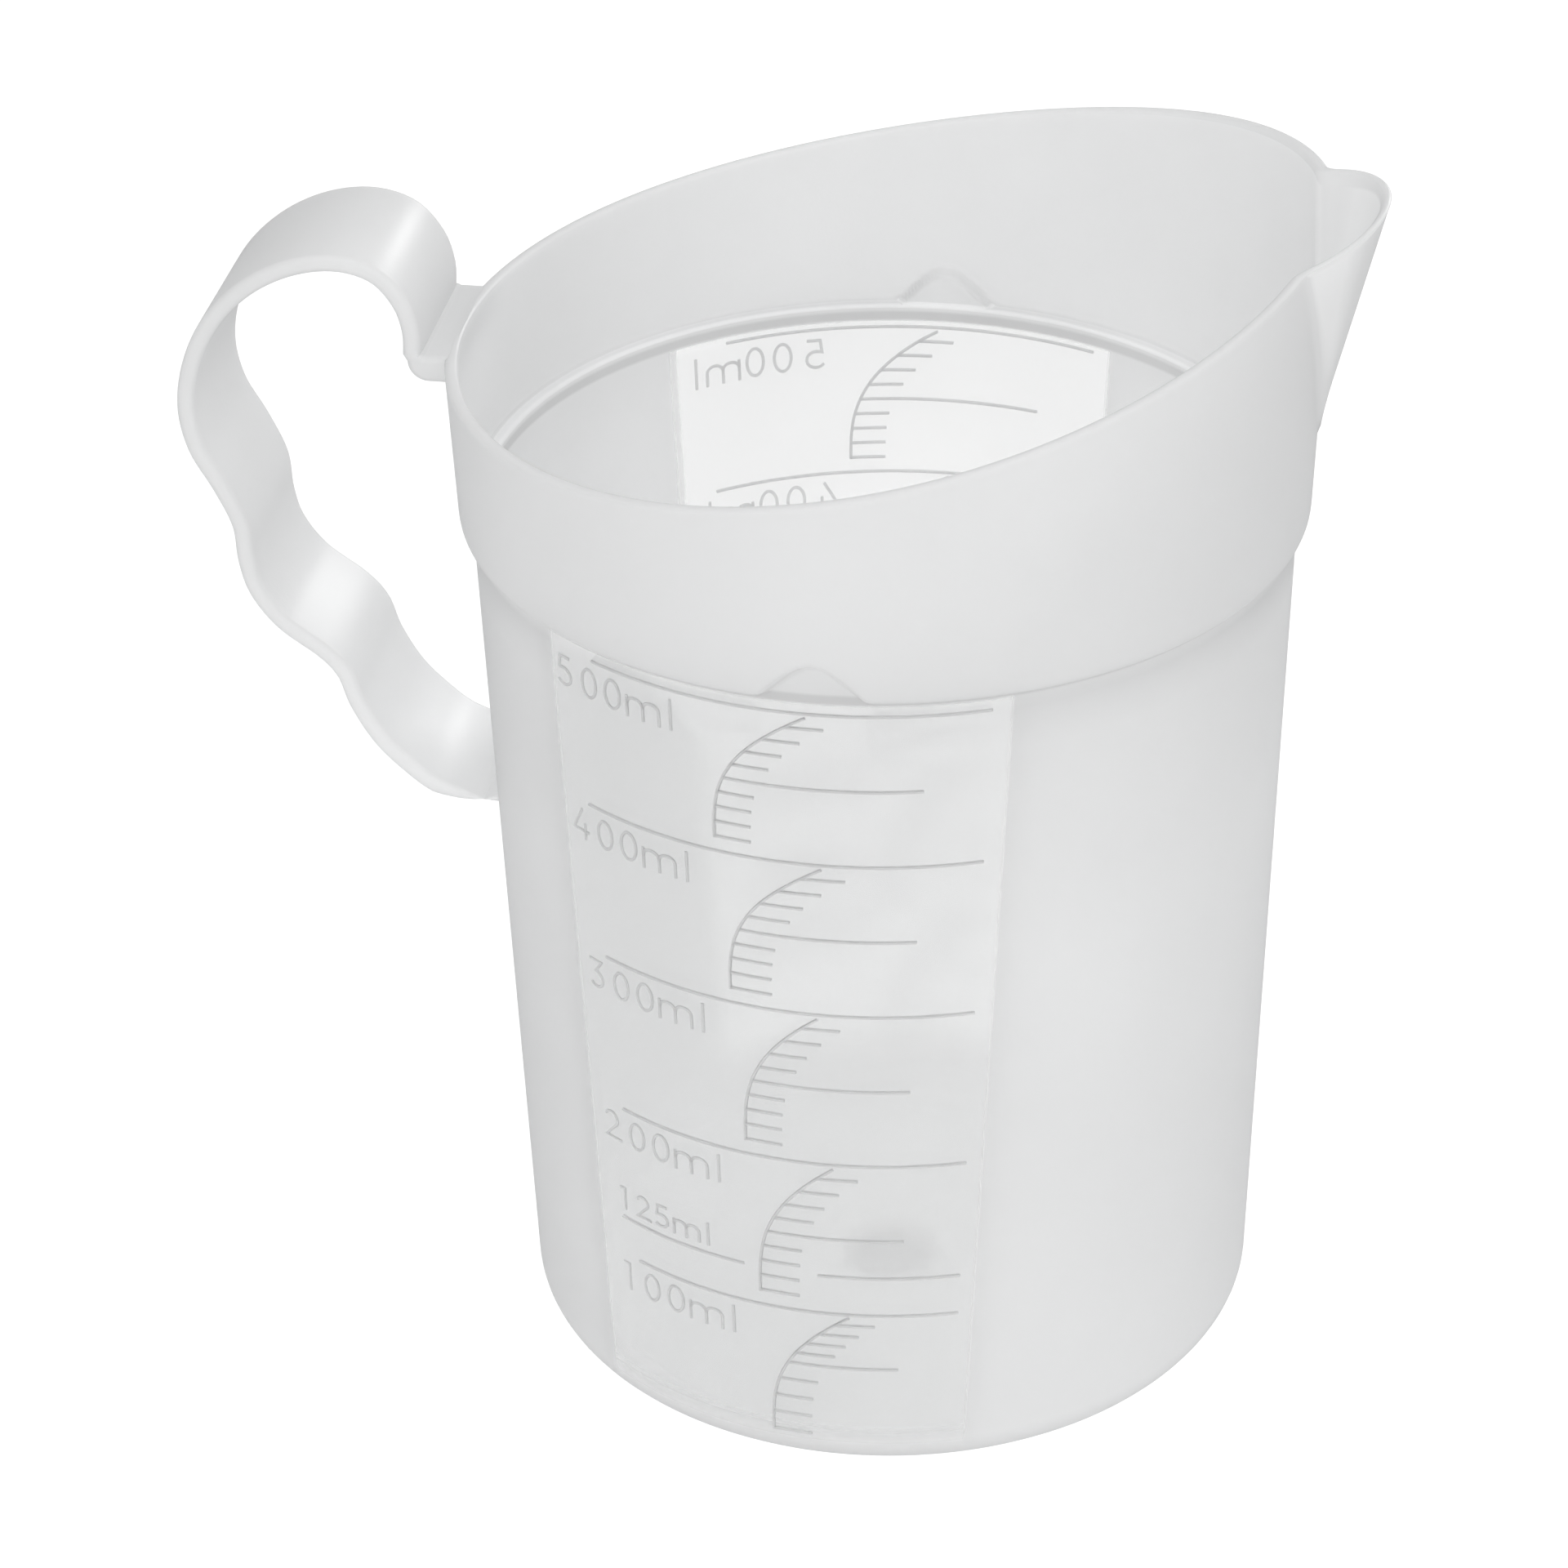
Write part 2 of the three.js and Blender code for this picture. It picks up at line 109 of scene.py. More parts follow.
# Numbers: azimuth of the last stroke on each side, heights in mm, and how the quarter line's
# smaller number differs. A slot is how far a glyph's left edge lies before the last stroke, in mm
# for digits of DIGIT_GRID.
DIGIT_GRID = 3.75
GLYPH_SLOTS = (-15.55, -11.85, -8.55, -5.4, 0.0)
NUMBER_ENDS = {LEFT: (123.6, 1.3), RIGHT: (105.2, 1.33)}
NUMBER_BELOW_LINE = 1.1
QUARTER_NUMBER_ABOVE = 1.05
QUARTER_NUMBER_SCALE = 0.81
QUARTER_NUMBER_SHIFT = 3.4           # degrees back towards its first stroke
NUMBER_STROKE = 0.36
NUMBER_HEIGHT_SHARE = 0.45           # of a mark's height

# Finish of the plastic, with its painted edge shade and painted brightness, each as (frosted, polished).
ROUGHNESS = (0.37, 0.1)
GRAIN = (0.32, 0.02)
SHINE = (0.75, 0.5)
CLARITY = (0.0, 0.85)
SCATTER = (0.5, 0.1)
# Painted shade: how much of the edge colour the plastic takes where it is seen along its surface.
PAINTED_EDGE_SHADE = (1.0, 0.9)
# Painted light: polished plastic is painted a little lighter, standing in for light that comes through it.
PAINTED_POLISH_LIGHT = (1.0, 1.03)
GATE_POLISH = 0.3                    # share of the way from frosted to polished
MARK_POLISH = 0.8
REFRACTION = 1.49
GRAIN_DEPTH = 0.00004                # metres
CLOUD_ROUGHNESS = 0.06               # most that the flow clouds add to the roughness
CLOUD_DRIFT = 0.03                   # most that they change the brightness
INNER_SHADE = 0.45                   # share of the painted edge shade on faces towards the axis
TOP_SHADE_HEIGHTS = (70, 105)             # mm over which the colour is painted darker towards the top, as painted shade
TOP_SHADE_LEVEL = 0.945

# The wall's polished panels, in mm: edges as (place at the foot, gain per height), softness of the
# edges, gap below the step, foot and its softness, and how far from the middle plane they start.
PANEL_SPOUT_EDGE = (14.1, 0.056)
PANEL_HANDLE_EDGE = (-26.0, -0.036)
PANEL_SOFT = 0.35
PANEL_TOP_GAP = 0.3
PANEL_FOOT = 2.6
PANEL_FOOT_SOFT = 3
PANEL_FROM_MIDDLE = 24

# The floor's polished disc, in mm: margin to the foot's radius, softness and top, and its polish.
DISC_MARGIN = 5
DISC_SOFT = 2
DISC_TOP = 2
DISC_POLISH = 0.6

# Bands round the cup in mm above the step (centre, half height, softness), and their effect: painted shade in
# a band round the step, painted light on the ledge inside.
PAINTED_STEP_BAND = (0.1, 0.35, 0.35)
PAINTED_STEP_SHADE = -0.16
PAINTED_LEDGE_BAND = (1.4, 0.2, 0.25)
PAINTED_LEDGE_LIGHT = 0.22
LEDGE_CLEAR = 0.2                    # inside the wall's outer face, where the ledge's painted light starts

# Studio: strengths seen by the camera and lighting the beaker, and lamps as (place, aim, size, watts).
SEEN_WHITE = 1.1
FLOOR_LIGHT = 1.05
LEVEL_LIGHT = 0.665
UPWARD_GAIN = 0.42
FLOOR_RADIUS = 6.0                   # metres
FLOOR_DROP = 0.0002                  # metres below the beaker
LAMPS = {
    "key": ((0.75, -0.25, 0.55), (0.0, 0.0, 0.06), 0.4, 0.8),
    "back": ((0.3, 0.8, 0.45), (0.0, 0.0, 0.07), 0.25, 2.6),
}
CAMERA_PLACE = (0.085324, -0.509879, 0.37698)
CAMERA_RIGHT = (0.984247, 0.175896, -0.017855)
CAMERA_UP = (-0.076165, 0.512985, 0.855012)
CAMERA_LENS = 126.717


def length(name, description, size):
    """A size property, given in mm."""
    return FloatProperty(name=name, description=description, default=size * MM, unit="LENGTH")


def tint(name, description, colour):
    """A colour property."""
    return FloatVectorProperty(name=name, description=description, subtype="COLOR", size=4, min=0, max=1,
                               default=colour)


class BeakerSizes(bpy.types.PropertyGroup):
    """Sizes that the frame's boxes don't give directly"""

    wall: length("Wall", "Wall thickness across the radius", 1.46)
    floor: length("Floor", "Floor thickness", 0.9)
    corner: length("Corner", "Outer radius between floor and wall", 4.6)
    collar_draft: FloatProperty(name="Collar draft", description="Radius gained per height", default=0.0427)
    collar_wall: length("Collar wall", "Wall thickness of the collar", 1.4)
    step_out: length("Step", "How far the collar stands out", 1.35)
    step_round: length("Step round", "Radius of the collar's lower edge", 1.1)
    ledge: length("Ledge", "Height of the ledge inside the step", 1.4)
    rim_rise: length("Rim rise", "From the step up to the rim, on the axis", 23.0)
    rim_slope: FloatProperty(name="Rim slope", description="Slope of the rim on the axis", default=0.196)
    rim_arc: length("Rim arc", "Radius of the rim seen from the side", 335)
    spout_start: length("Spout start", "Height of the spout's point above the step", 11.25)
    spout_flare: FloatProperty(name="Spout flare", description="Cone radius gained per height", default=0.63)
    spout_lean: FloatProperty(name="Spout lean", description="Cone centre's shift per height", default=-0.378)
    spout_rise: length("Spout wall rise", "The inner cone sits this much higher", 1.8)
    spout_back: length("Spout wall back", "The inner cone sits this much nearer the axis", 0.4)
    spout_blend: length("Spout blend", "Softness between spout and collar", 1.2)
    stop_pad: length("Stop pad", "Outline radius of a stacking stop inside", 7.2)
    stop_pocket: length("Stop pocket", "Outline radius of a stacking stop outside", 6.2)
    stop_drop: length("Stop drop", "How far below the step a stop's centre lies", 2.0)
    handle_width: length("Handle width", "Width of the strap", 18)
    handle_thickness: length("Handle thickness", "Thickness of the strap", 1.9)
    handle_reach: length("Handle reach", "From the collar to the outermost wave", 27.8)
    handle_drop: length("Handle drop", "From the step down to the foot", 38.2)
    bridge_depth: length("Bridge depth", "Height of the bridge to the rim", 3.0)
    bridge_reach: length("Bridge reach", "From the collar to the rising strap", 2.3)
    bridge_round: length("Bridge round", "Radius under the bridge's outer corner", 2.2)
    mark_width: length("Mark width", "Width of a raised mark", 0.34)
    mark_height: length("Mark height", "How far a mark stands out", 0.2)
    digit_height: length("Digit height", "Height of the numbers", DIGIT_GRID)
    turn_steps: IntProperty(name="Turn steps", description="Coarse facets round the cup", default=240)


class BeakerColours(bpy.types.PropertyGroup):
    """Colours of the plastic and the studio"""

    plastic: tint("Plastic", "Natural polypropylene", (0.955, 0.957, 0.958, 1))
    # Painted shade: the colour that the plastic is darkened towards where it is seen along its surface, for
    # camera rays only.
    edge: tint("Edge", "Plastic seen along its surface", (0.56, 0.563, 0.567, 1))
    backdrop: tint("Backdrop", "Floor and surroundings", (1, 1, 1, 1))


# ---- Sizes taken from the frame --------------------------------------------------------------

def corner_of(line, level, radius, slope):
    """Centre of the round between a level floor and a sloping wall."""
    return line(level + radius) - radius * math.hypot(1, slope), level + radius


class Cup:
    """Radii and heights of the cup, in metres."""

    def __init__(self, sizes):
        self.s = sizes
        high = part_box("cup_wall")[1]
        base_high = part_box("cup_base")[1]
        self.step = high[2]
        self.draft = (high[0] - base_high[0]) / (high[2] - base_high[2])
        self.foot = high[0] - self.draft * high[2]
        self.collar_at_step = self.outer(self.step) + sizes.step_out
        tilt = math.atan(sizes.rim_slope)
        self.rim_x = -sizes.rim_arc * math.sin(tilt)
        self.rim_z = self.step + sizes.rim_rise + sizes.rim_arc * math.cos(tilt)

    def outer(self, z):
        return self.foot + self.draft * z

    def inner(self, z):
        return self.outer(z) - self.s.wall

    def collar(self, z):
        return self.collar_at_step + self.s.collar_draft * (z - self.step)

    def rim(self, x):
        return self.rim_z - math.sqrt(self.s.rim_arc ** 2 - (x - self.rim_x) ** 2)

    def spout(self, azimuth, z, rise=0.0, back=0.0):
        """Distance from the axis to the spout's cone, or zero where it isn't met."""
        up = z - rise - self.step - self.s.spout_start
        if up <= 0 or math.cos(azimuth) <= 0:
            return 0.0
        centre = self.collar(self.step + self.s.spout_start) - back + self.s.spout_lean * up
        radius = self.s.spout_flare * up
        across = centre * math.sin(azimuth)
        if radius <= abs(across):
            return 0.0
        return centre * math.cos(azimuth) + math.sqrt(radius ** 2 - across ** 2)

    def shell(self, azimuth, z, inside):
        """Radius of the collar and spout, softly joined, outside or inside."""
        ring = self.collar(z)
        cone = self.spout(azimuth, z)
        if inside:
            ring = self.collar(z) - self.s.collar_wall
            cone = self.spout(azimuth, z, self.s.spout_rise, self.s.spout_back)
        blend = self.s.spout_blend
        near = max(blend - abs(ring - cone), 0.0) / blend
        return max(ring, cone) + near * near * blend / 4

    def at_rim(self, azimuth, inside):
        """(radius, height) where the shell meets the rim."""
        z = self.rim(self.collar_at_step * math.cos(azimuth))
        for _ in range(12):
            radius = self.shell(azimuth, z, inside)
            z = self.rim(radius * math.cos(azimuth))
        return radius, z


def smooth(value, low, high):
    t = min(max((value - low) / (high - low), 0.0), 1.0)
    return t * t * (3 - 2 * t)


def stop_share(cup, azimuth, z, radius):
    """0 inside a stacking stop's bell-shaped outline and 1 outside it, with a soft edge."""
    if abs(math.sin(azimuth)) < 0.5:
        return 1.0
    across = abs(cup.collar_at_step * math.cos(azimuth))
    half = math.sqrt(radius ** 2 - cup.s.stop_drop ** 2)
    t = across / half
    bell = 0.5 * (1 - t * t) + 0.25 * (1 + math.cos(math.pi * t)) if t < 1 else 1.5 * (1 - t)
    return smooth(z - cup.step - (radius - cup.s.stop_drop) * bell, -0.35 * MM, 0.45 * MM)


def azimuths(steps):
    """Azimuths round the cup, closer together at the spout and the stacking stops."""
    coarse = 2 * math.pi / steps
    fine = coarse / FINE_SHARE
    angles = []
    angle = -math.pi
    while angle < math.pi - fine / 2:
        angles.append(angle)
        at_spout = abs(angle + fine) < math.radians(SPOUT_FINE)
        at_stop = abs(abs(angle + fine) - math.pi / 2) < math.radians(STOP_FINE)
        angle += fine if at_spout or at_stop else coarse
    return angles


# ---- Meshes ----------------------------------------------------------------------------------

def skin(bm, rings):
    """Extrudes a closed ring of points from each ring to the next; returns the end rings' vertices."""
    first = [bm.verts.new(p) for p in rings[0]]
    edges = [bm.edges.new(pair) for pair in zip(first, first[1:] + first[:1])]
    row = first
    for ring in rings[1:]:
        made = bmesh.ops.extrude_edge_only(bm, edges=edges)["geom"]
        fresh = {item for item in made if isinstance(item, bmesh.types.BMVert)}
        links = [item for item in made if isinstance(item, bmesh.types.BMEdge)]
        edges = [edge for edge in links if fresh.issuperset(edge.verts)]
        row = [next(e.other_vert(v) for e in v.link_edges if e.other_vert(v) in fresh) for v in row]
        for vert, place in zip(row, ring):
            vert.co = place
    return first, row


def fan(bm, row, level):
    """Closes a ring with a fan round a point on the axis."""
    centre = bmesh.ops.poke(bm, faces=[bm.faces.new(row)])["verts"][0]
    centre.co = (0, 0, level)


def finish_mesh(name, bm, material, nodes, smooth_angle=40):
    """Turns bm into a piece that rides on the frame and stands for CAD nodes."""
    bmesh.ops.remove_doubles(bm, verts=bm.verts, dist=1e-7)
    bmesh.ops.recalc_face_normals(bm, faces=bm.faces)
    limit = math.radians(smooth_angle)
    for face in bm.faces:
        face.smooth = True
    for edge in bm.edges:
        if len(edge.link_faces) == 2 and edge.calc_face_angle(0) > limit:
            edge.smooth = False
    mesh = bpy.data.meshes.new(name)
    bm.to_mesh(mesh)
    bm.free()
    mesh.materials.append(material)
    piece = bpy.data.objects.new(name, mesh)
    bpy.context.scene.collection.objects.link(piece)
    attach(piece, "root")
    if nodes:
        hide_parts(*nodes)


def arc(centre, radius, start, end, steps):
    """(radius, height) points of an arc in a half plane, angles in degrees from outward."""
    points = []
    for i in range(steps + 1):
        a = math.radians(start + (end - start) * i / steps)
        points.append((centre[0] + radius * math.cos(a), centre[1] + radius * math.sin(a)))
    return points


def vessel_rows(cup, sizes, angles):
    """Rings of the whole vessel, from the centre of the underside round to the floor's top."""
    rows = []

    def ring(points):
        turns = zip(angles, points)
        rows.append([(radius * math.cos(a), radius * math.sin(a), z) for a, (radius, z) in turns])

    def plain(points):
        for point in points:
            ring([point] * len(angles))

    def wall(line, start, end, steps=14):
        plain([(line(start + (end - start) * i / steps), start + (end - start) * i / steps)
               for i in range(steps + 1)])

    def pocket(z, out):
        """A ring outside, out from the wall by out(azimuth) save in the stops' pockets."""
        ring([(cup.outer(z) + out(a) * stop_share(cup, a, z, sizes.stop_pocket), z) for a in angles])

    # Underside, corner and wall.
    tilt = math.degrees(math.atan(cup.draft))
    outer_corner = corner_of(cup.outer, 0.0, sizes.corner, cup.draft)
    plain([(r, 0.0) for r in (6 * MM, 20 * MM, outer_corner[0] - 3 * MM)])
    plain(arc(outer_corner, sizes.corner, -90, -tilt, 12))
    wall(cup.outer, outer_corner[1] + 2 * MM, cup.step - 0.3 * MM)

    # The collar's lower edge: out along the step, round its edge and up.
    bend = sizes.step_round
    pocket(cup.step, lambda a: 0.3 * MM)
    pocket(cup.step, lambda a: sizes.step_out - bend)
    for i in range(1, 8):
        turn = math.pi / 2 * i / 7
        out = sizes.step_out - bend + bend * math.sin(turn)
        pocket(cup.step + bend * (1 - math.cos(turn)), lambda a: out)

    # Collar and spout, outside: even steps past the stops, then shares of the way to the rim.
    low = cup.step + bend
    high = cup.step + STOP_TOP * MM
    for i in range(1, 17):
        z = low + (high - low) * i / 16
        pocket(z, lambda a: cup.shell(a, z, False) - cup.outer(z))
    tops = [cup.at_rim(a, False) for a in angles]
    inner_tops = [cup.at_rim(a, True) for a in angles]
    lip = LIP * MM

    def upper(ends, share, inside):
        levels = [high + (rim - lip - high) * share for _, rim in ends]
        ring([(cup.shell(a, z, inside), z) for a, z in zip(angles, levels)])

    for i in range(1, 31):
        upper(tops, 1 - (1 - i / 30) ** 1.15, False)

    # Over the rounded lip.
    for i in range(1, 8):
        across = 0.5 - 0.5 * math.cos(math.pi * i / 8)
        fall = lip * (1 - math.sqrt(max(1 - (2 * across - 1) ** 2, 0)))
        radii = [out + (inn - out) * across for (out, _), (inn, _) in zip(tops, inner_tops)]
        ring([(radius, cup.rim(radius * math.cos(a)) - fall) for a, radius in zip(angles, radii)])

    # Down the inside to the ledge, in front of the stops' pads.
    for i in range(31):
        upper(inner_tops, (1 - i / 30) ** 1.15, True)
    ledge_top = cup.step + sizes.ledge
    outer_bend = LEDGE_COLLAR_ROUND * MM
    inner_bend = LEDGE_WALL_ROUND * MM

    def pad(z, out, at):
        """A ring inside, out from the inner wall by out save where the stops' pads stand."""
        shares = [max(stop_share(cup, a, at, sizes.stop_pad), STOP_LEAST) for a in angles]
        ring([(cup.inner(z) + out * share, z) for share in shares])

    low = ledge_top + outer_bend
    for i in range(1, 17):
        z = high + (low - high) * i / 16
        pad(z, cup.collar(z) - sizes.collar_wall - cup.inner(z), z)
    width = cup.collar(ledge_top) - sizes.collar_wall - cup.inner(ledge_top)
    for i in range(1, 5):
        turn = math.pi / 2 * i / 4
        z = ledge_top + outer_bend * (1 - math.sin(turn))
        pad(z, width - outer_bend * (1 - math.cos(turn)), ledge_top)
    for i in range(6):
        turn = math.pi / 2 * i / 5
        pad(ledge_top - inner_bend * (1 - math.cos(turn)), inner_bend * (1 - math.sin(turn)), ledge_top)

    # Down the inner wall and round to the floor.
    inner_corner = corner_of(cup.inner, sizes.floor, sizes.corner - sizes.wall, cup.draft)
    wall(cup.inner, ledge_top - inner_bend - 0.4 * MM, inner_corner[1] + 2 * MM)
    plain(arc(inner_corner, sizes.corner - sizes.wall, -tilt, -90, 10))
    plain([(r, sizes.floor) for r in (outer_corner[0] - 6 * MM, 20 * MM, 6 * MM)])
    return rows


# ---- Materials -------------------------------------------------------------------------------

def shader_tree(name):
    material = bpy.data.materials.new(name)
    material.use_nodes = True
    tree = material.node_tree
    tree.nodes.clear()
    return material, tree


def node(tree, kind, **settings):
    """A node with its settings; keys that name an input set that input's own value."""
    made = tree.nodes.new(kind)
    for key, value in settings.items():
        if key.startswith("in_"):
            made.inputs[key[3:].replace("_", " ")].default_value = value
        else:
            setattr(made, key, value)
    return made


def feed(tree, socket, value):
    """Sets a socket to a number or links an output to it."""
    if isinstance(value, (int, float)):
        socket.default_value = value
    else:
        tree.links.new(value, socket)


def maths(tree, operation, *values, clamp=False):
    made = node(tree, "ShaderNodeMath", operation=operation, use_clamp=clamp)
    for socket, value in zip(made.inputs, values):
        feed(tree, socket, value)
    return made.outputs[0]


def axis_distance(tree, split):
    """How far a point lies from the cup's axis, from its separated coordinates."""
    x, y, _ = split.outputs
    return maths(tree, "SQRT", maths(tree, "MULTIPLY_ADD", x, x, maths(tree, "MULTIPLY", y, y)))


def panel_mask(tree, coords, cup):
    """1 on the two polished panels of the wall, less on the middle of the floor, else 0."""
    split = node(tree, "ShaderNodeSeparateXYZ")
    tree.links.new(coords, split.inputs[0])
    x, y, z = split.outputs

    def minus(first, second):
        return maths(tree, "SUBTRACT", first, second)

    def times(first, second):
        return maths(tree, "MULTIPLY", first, second)

    def edge(place, gain):
        return maths(tree, "MULTIPLY_ADD", z, gain, place * MM)

    def step(value, soft=PANEL_SOFT):
        return maths(tree, "MULTIPLY", value, 1 / (soft * MM), clamp=True)

    mask = times(step(minus(edge(*PANEL_SPOUT_EDGE), x)), step(minus(x, edge(*PANEL_HANDLE_EDGE))))
    mask = times(mask, step(minus(cup.step - PANEL_TOP_GAP * MM, z)))
    mask = times(mask, step(minus(z, PANEL_FOOT * MM), PANEL_FOOT_SOFT))
    mask = times(mask, step(minus(maths(tree, "ABSOLUTE", y), PANEL_FROM_MIDDLE * MM)))
    disc = step(minus(cup.foot - DISC_MARGIN * MM, axis_distance(tree, split)), DISC_SOFT)
    disc = times(disc, step(minus(DISC_TOP * MM, z)))
    return maths(tree, "MAXIMUM", mask, times(disc, DISC_POLISH))


def painted_step_bands(tree, cup, split, seen):
    """Painted shade and light in bands round the cup: darker round the step, and lighter on the ledge inside
    for camera rays only.
    """
    height = maths(tree, "SUBTRACT", split.outputs["Z"], cup.step)

    def band(centre, half, soft):
        offset = maths(tree, "ABSOLUTE", maths(tree, "SUBTRACT", height, centre * MM))
        return maths(tree, "MULTIPLY_ADD", offset, -1 / (soft * MM), half / soft + 1, clamp=True)

    clear = LEDGE_CLEAR * MM
    inside = maths(tree, "SUBTRACT", cup.outer(cup.step) - clear, axis_distance(tree, split))
    inside = maths(tree, "MULTIPLY", maths(tree, "MULTIPLY", inside, 1 / clear, clamp=True), seen)
    # Painted shade: a darker band round the step, inside and out.
    step_shade = maths(tree, "MULTIPLY_ADD", band(*PAINTED_STEP_BAND), PAINTED_STEP_SHADE, 1.0)
    # Painted light on the ledge inside, for camera rays only.
    ledge = maths(tree, "MULTIPLY", band(*PAINTED_LEDGE_BAND), inside)
    return maths(tree, "MULTIPLY", step_shade, maths(tree, "MULTIPLY_ADD", ledge, PAINTED_LEDGE_LIGHT, 1.0))


def outer_faces(tree, coords):
    """1 on faces that look away from the axis, 0 on those that look towards it."""
    outward = node(tree, "ShaderNodeVectorMath", operation="DOT_PRODUCT")
    tree.links.new(coords, outward.inputs[0])
    tree.links.new(node(tree, "ShaderNodeNewGeometry").outputs["Normal"], outward.inputs[1])
    return maths(tree, "MULTIPLY", outward.outputs["Value"], 1 / (10 * MM), clamp=True)


def plastic(name, colours, cup=None, polished=0.0):
    """Translucent polypropylene: frosted, with polished panels where cup is given."""
    material, tree = shader_tree(name)
    link = tree.links.new
    coords = node(tree, "ShaderNodeTexCoord").outputs["Object"]
    grain = node(tree, "ShaderNodeTexNoise", in_Scale=1800.0, in_Detail=3.0, in_Roughness=0.6)
    cloud = node(tree, "ShaderNodeTexNoise", in_Scale=38.0, in_Detail=4.0, in_Roughness=0.55)
    split = node(tree, "ShaderNodeSeparateXYZ")
    for socket in (grain.inputs["Vector"], cloud.inputs["Vector"], split.inputs[0]):
        link(coords, socket)
    mask = panel_mask(tree, coords, cup) if cup else None

    def between(matt, clear):
        """Goes from the frosted to the polished value, by the panels or by the piece's own share."""
        if mask is None:
            return matt + (clear - matt) * polished
        return maths(tree, "MULTIPLY_ADD", mask, clear - matt, matt)

    # Painted shade: for camera rays only, the colour darkens towards the edge colour where the wall is seen
    # along its surface. Faces towards the axis take less of it, standing in for light caught inside the cup.
    facing = node(tree, "ShaderNodeLayerWeight", in_Blend=0.3)
    seen = node(tree, "ShaderNodeLightPath").outputs["Is Camera Ray"]
    grazing = maths(tree, "MULTIPLY", facing.outputs["Facing"], seen)
    if cup:
        share = maths(tree, "MULTIPLY_ADD", outer_faces(tree, coords), 1 - INNER_SHADE, INNER_SHADE)
        grazing = maths(tree, "MULTIPLY", grazing, share)
    painted_edge_tone = node(tree, "ShaderNodeMix", data_type="RGBA")
    painted_edge_tone.inputs["A"].default_value = colours.plastic
    painted_edge_tone.inputs["B"].default_value = colours.edge
    feed(tree, painted_edge_tone.inputs["Factor"], maths(tree, "MULTIPLY", grazing, between(*PAINTED_EDGE_SHADE)))

    # Brightness: painted shade towards the top, a drift in flow clouds, and the cup's painted bands of shade
    # and light.
    # Painted shade: the colour is darkened towards the top.
    top_shade = node(tree, "ShaderNodeMapRange", in_To_Min=1.0, in_To_Max=TOP_SHADE_LEVEL,
                in_From_Min=TOP_SHADE_HEIGHTS[0] * MM, in_From_Max=TOP_SHADE_HEIGHTS[1] * MM)
    link(split.outputs["Z"], top_shade.inputs["Value"])
    drift = node(tree, "ShaderNodeMapRange", in_To_Min=1 - CLOUD_DRIFT, in_To_Max=1 + CLOUD_DRIFT)
    link(cloud.outputs["Fac"], drift.inputs["Value"])
    level = maths(tree, "MULTIPLY", top_shade.outputs["Result"], drift.outputs["Result"])
    if cup:
        level = maths(tree, "MULTIPLY", level, painted_step_bands(tree, cup, split, seen))
    # Painted light: a little lighter where the plastic is polished.
    level = maths(tree, "MULTIPLY", level, between(*PAINTED_POLISH_LIGHT))
    shade = node(tree, "ShaderNodeVectorMath", operation="SCALE")
    link(painted_edge_tone.outputs["Result"], shade.inputs[0])
    link(level, shade.inputs["Scale"])
    colour = shade.outputs[0]

    # Fine sand-blasted grain, almost absent where the plastic is polished.
    bump = node(tree, "ShaderNodeBump", in_Distance=GRAIN_DEPTH)
    link(grain.outputs["Fac"], bump.inputs["Height"])
    feed(tree, bump.inputs["Strength"], between(*GRAIN))

    body = node(tree, "ShaderNodeBsdfPrincipled", in_IOR=REFRACTION)
    link(colour, body.inputs["Base Color"])
    rough = maths(tree, "MULTIPLY_ADD", cloud.outputs["Fac"], CLOUD_ROUGHNESS, between(*ROUGHNESS))
    link(rough, body.inputs["Roughness"])
    link(bump.outputs["Normal"], body.inputs["Normal"])
    feed(tree, body.inputs["Specular IOR Level"], between(*SHINE))
    feed(tree, body.inputs["Transmission Weight"], between(*CLARITY))

    through = node(tree, "ShaderNodeBsdfTranslucent")
    link(colour, through.inputs["Color"])
    link(bump.outputs["Normal"], through.inputs["Normal"])
    blend = node(tree, "ShaderNodeMixShader")
    feed(tree, blend.inputs[0], between(*SCATTER))
    link(body.outputs[0], blend.inputs[1])
    link(through.outputs[0], blend.inputs[2])
    link(blend.outputs[0], node(tree, "ShaderNodeOutputMaterial").inputs["Surface"])
    return material


# ---- Pieces ----------------------------------------------------------------------------------

class BEAKER_OT_vessel(bpy.types.Operator):
    """Build the vessel: floor, tapered wall, step, collar, spout, stops and rounded rim in one skin"""

    bl_idname = "beaker.vessel"
    bl_label = "Vessel"

    def execute(self, context):
        sizes = context.scene.beaker_sizes
        cup = Cup(sizes)
        bm = bmesh.new()
        underside, top = skin(bm, vessel_rows(cup, sizes, azimuths(sizes.turn_steps)))
        fan(bm, underside, 0.0)
        fan(bm, top, sizes.floor)
        material = plastic("frosted_polypropylene", context.scene.beaker_colours, cup)
        nodes = ("cup_base", "cup_wall", "collar", "spout", "stacking_stop_left", "stacking_stop_right")
        finish_mesh("vessel", bm, material, nodes, 60)
        return {"FINISHED"}


def catmull(points, steps):
    """A smooth curve through points, evenly divided, with its directions."""
    dense = []
    for i in range(len(points) - 1):
        p0 = points[max(i - 1, 0)]
        p1, p2 = points[i], points[i + 1]
        p3 = points[min(i + 2, len(points) - 1)]
        for k in range(20):
            t = k / 20
            dense.append(0.5 * ((2 * p1) + (p2 - p0) * t + (2 * p0 - 5 * p1 + 4 * p2 - p3) * t * t
                                + (3 * p1 - p0 - 3 * p2 + p3) * t ** 3))
    dense.append(points[-1])
    lengths = [0.0]
    for a, b in zip(dense, dense[1:]):
        lengths.append(lengths[-1] + (b - a).length)
    result = []
    at = 0
    for i in range(steps + 1):
        want = lengths[-1] * i / steps
        while at < len(lengths) - 2 and lengths[at + 1] < want:
            at += 1
        t = (want - lengths[at]) / max(lengths[at + 1] - lengths[at], 1e-12)
        result.append(dense[at].lerp(dense[at + 1], t))
    return result


